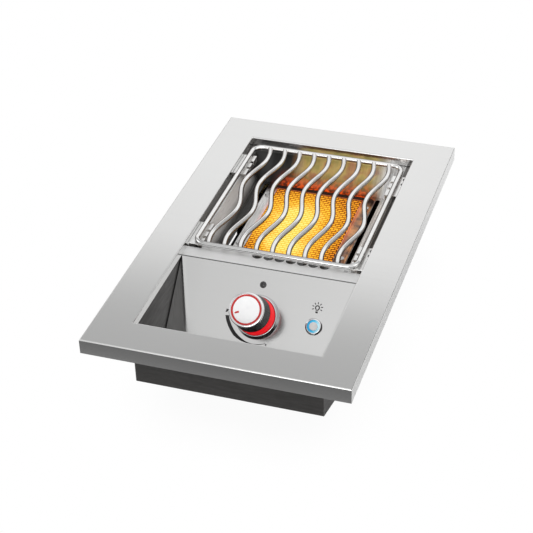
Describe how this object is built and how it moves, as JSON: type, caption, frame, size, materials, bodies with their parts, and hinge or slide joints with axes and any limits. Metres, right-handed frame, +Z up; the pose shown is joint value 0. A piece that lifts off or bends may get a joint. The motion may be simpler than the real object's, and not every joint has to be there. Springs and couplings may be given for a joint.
{
  "type": "built in side burner",
  "caption": "Drop-in gas side burner with a steel trim frame, a glowing tile burner under a wave-rod grid, and a sloped panel with push-and-turn knob and light button.",
  "frame": {"origin": "centre of the casing's plan, on its underside", "axes": "+X to the right as seen from the knob, +Y to the back, +Z up"},
  "size_m": [0.343, 0.568, 0.15],
  "materials": {
    "trim_steel": "brushed",
    "panel_steel": "satin",
    "casing_steel": "satin",
    "liner_steel": "satin",
    "rest_steel": "satin",
    "shield_steel": "satin",
    "grid_rod": "polished",
    "burner_steel": "satin",
    "tile_ceramic": "matte",
    "gasket_fibre": "matte",
    "gas_steel": "satin",
    "gas_brass": "satin",
    "valve_alloy": "cast",
    "knob_plastic": "matte",
    "knob_bright": "satin",
    "pointer_dark": "matte",
    "bezel_chrome": "polished",
    "light_red": "translucent",
    "indicator_lens": "gloss",
    "button_metal": "satin",
    "button_light": "translucent",
    "button_cap": "gloss",
    "module_plastic": "matte",
    "electrode_white": "gloss",
    "electrode_metal": "oxidised",
    "screw_steel": "plated",
    "grommet_rubber": "matte"
  },
  "bodies": {
    "chassis": {"air_shutter": "gas_steel", "burner_box": "burner_steel", "burner_rim": "burner_steel", "burner_screws": "screw_steel", "button_body": "button_metal", "button_lens": "button_light", "button_nut": "screw_steel", "cable_grommet": "grommet_rubber", "casing": "casing_steel", "casing_side_left": "casing_steel", "casing_side_right": "casing_steel", "control_panel": "panel_steel", "electrode_ceramic": "electrode_white", "electrode_clip": "electrode_metal", "electrode_wire": "electrode_metal", "firebox_liner": "liner_steel", "gas_inlet": "gas_brass", "grid_rest_left_front": "rest_steel", "grid_rest_left_rear": "rest_steel", "grid_rest_right_front": "rest_steel", "grid_rest_right_rear": "rest_steel", "heat_shield": "shield_steel", "ignition_module": "module_plastic", "indicator": "indicator_lens", "knob_bezel": "bezel_chrome", "lamp_module": "module_plastic", "light_ring": "light_red", "liner_screws": "screw_steel", "manifold_pipe": "gas_steel", "module_screws": "screw_steel", "orifice": "gas_brass", "tile_front": "tile_ceramic", "tile_gasket": "gasket_fibre", "tile_rear": "tile_ceramic", "trim_frame": "trim_steel", "valve_body": "valve_alloy", "valve_screws": "screw_steel", "venturi_tube": "gas_steel"},
    "push": {"push_collar": "gas_brass"},
    "knob": {"valve_stem": "gas_steel", "knob_core": "knob_plastic", "knob_grip": "knob_plastic", "knob_cap": "knob_bright", "knob_pointer": "pointer_dark"},
    "light_button": {"button_cap": "button_cap"},
    "grid": {"cooking_grid": "grid_rod"}
  },
  "joints": [
    {"name": "knob_push", "type": "slide", "parent": "chassis", "child": "push", "axis": [0, 0.7071, -0.7071], "range_m": [0, 0.003], "stiffness_N_per_m": 600},
    {"name": "knob_turn", "type": "hinge", "parent": "push", "child": "knob", "pos_m": [-0.0022, -0.13688, 0.12039], "axis": [0, -0.7071, 0.7071], "range_deg": [-110, 97]},
    {"name": "light_button_push", "type": "slide", "parent": "chassis", "child": "light_button", "axis": [0, 0.7071, -0.7071], "range_m": [0, 0.0016], "stiffness_N_per_m": 900},
    {"name": "grid_lift", "type": "slide", "parent": "chassis", "child": "grid", "axis": [0, 0, 1], "range_m": [0, 0.12]}
  ]
}
